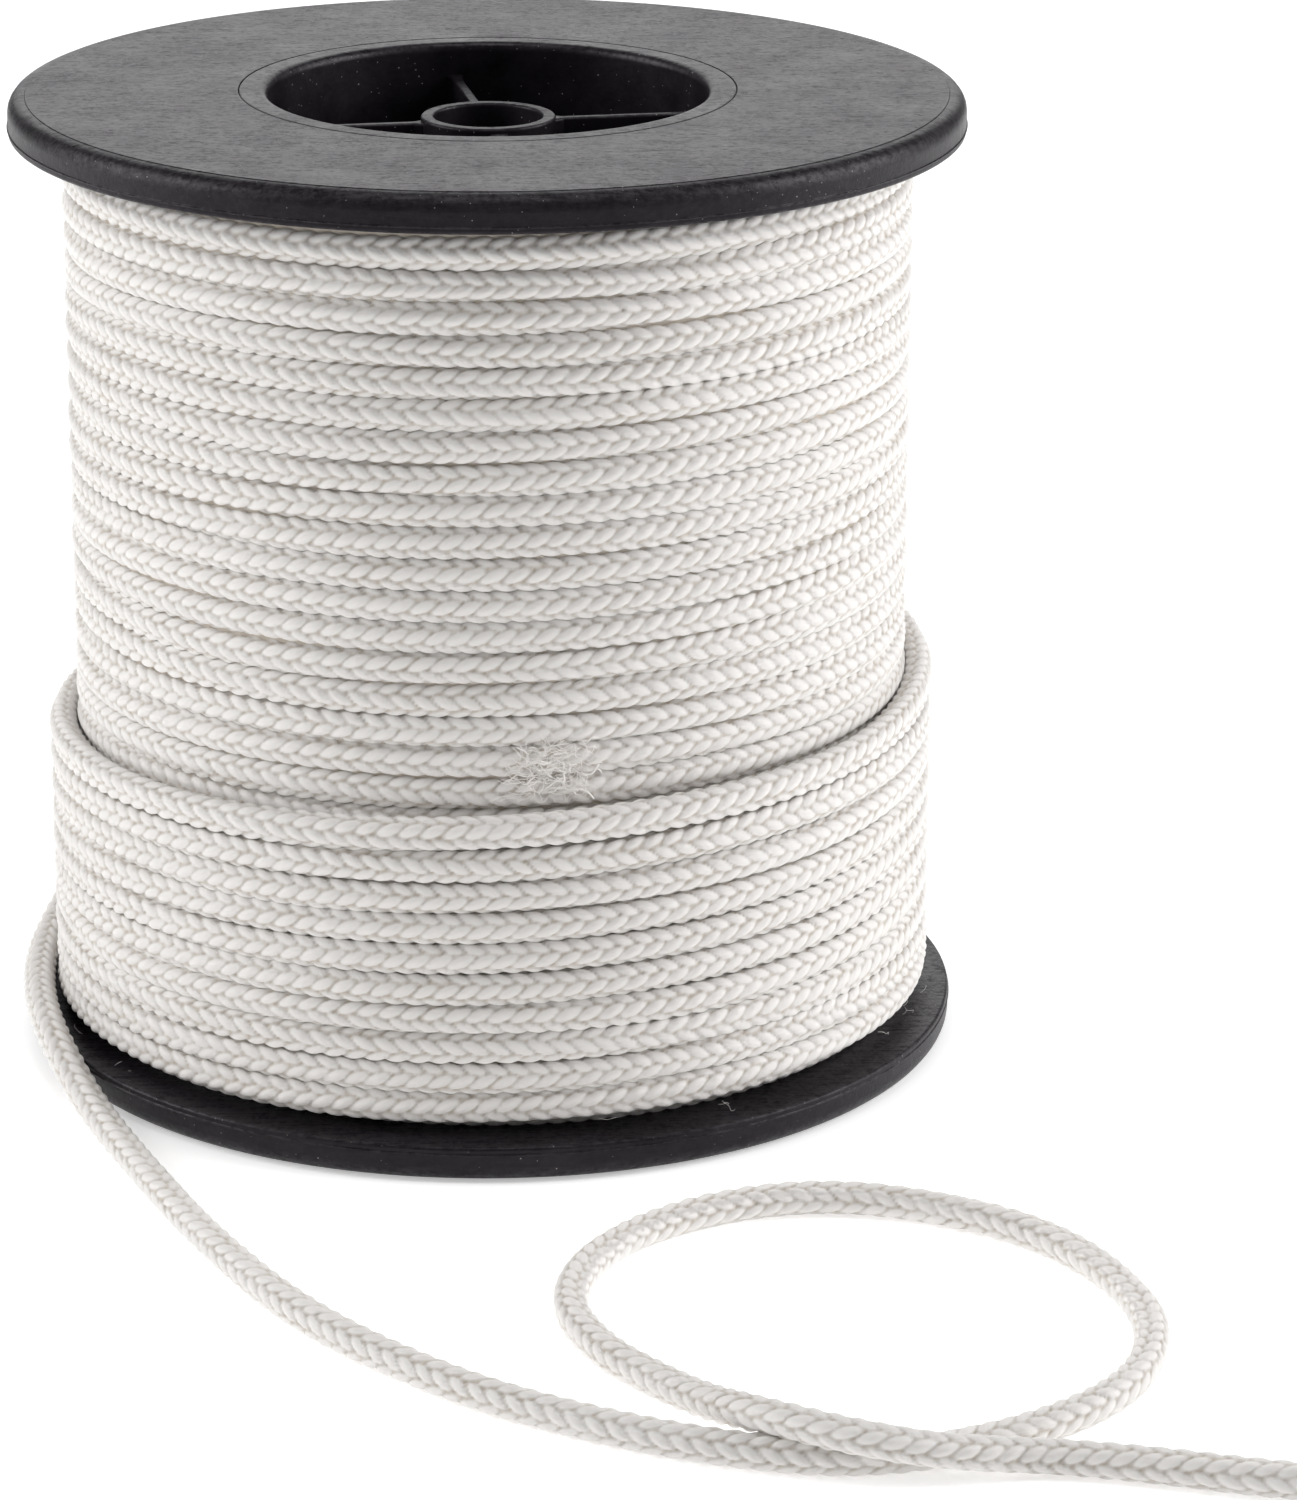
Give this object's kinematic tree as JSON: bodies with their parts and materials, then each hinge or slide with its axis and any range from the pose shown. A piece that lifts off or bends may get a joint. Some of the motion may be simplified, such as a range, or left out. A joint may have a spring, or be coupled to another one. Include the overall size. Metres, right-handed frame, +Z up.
{
  "type": "cord reel",
  "caption": "Two-flanged plastic spool standing on end, wound with white braided cord, its free end coming over the lower flange and lying on the table with one loop.",
  "frame": {"origin": "middle of the bottom flange's outer face, where the reel stands on the table", "axes": "+Z up along the reel's axis; the free end of the cord lies towards -Y"},
  "size_m": [0.1509, 0.1846, 0.1047],
  "materials": {
    "flange_plastic": "injection-moulded black plastic with a satin sheen, fine scratches and flow lines",
    "barrel_plastic": "injection-moulded black plastic, dull inside the hub",
    "cord_braid": "white braided synthetic cord with a soft sheen"
  },
  "bodies": {
    "root": {"bottom_flange": "flange_plastic", "top_flange": "flange_plastic", "barrel_tube": "barrel_plastic", "spindle_tube": "barrel_plastic", "hub_rib_1": "barrel_plastic", "hub_rib_2": "barrel_plastic", "hub_rib_3": "barrel_plastic", "hub_rib_4": "barrel_plastic", "wound_cord": "cord_braid", "last_cord_layer": "cord_braid", "cord_tail": "cord_braid"}
  },
  "joints": []
}
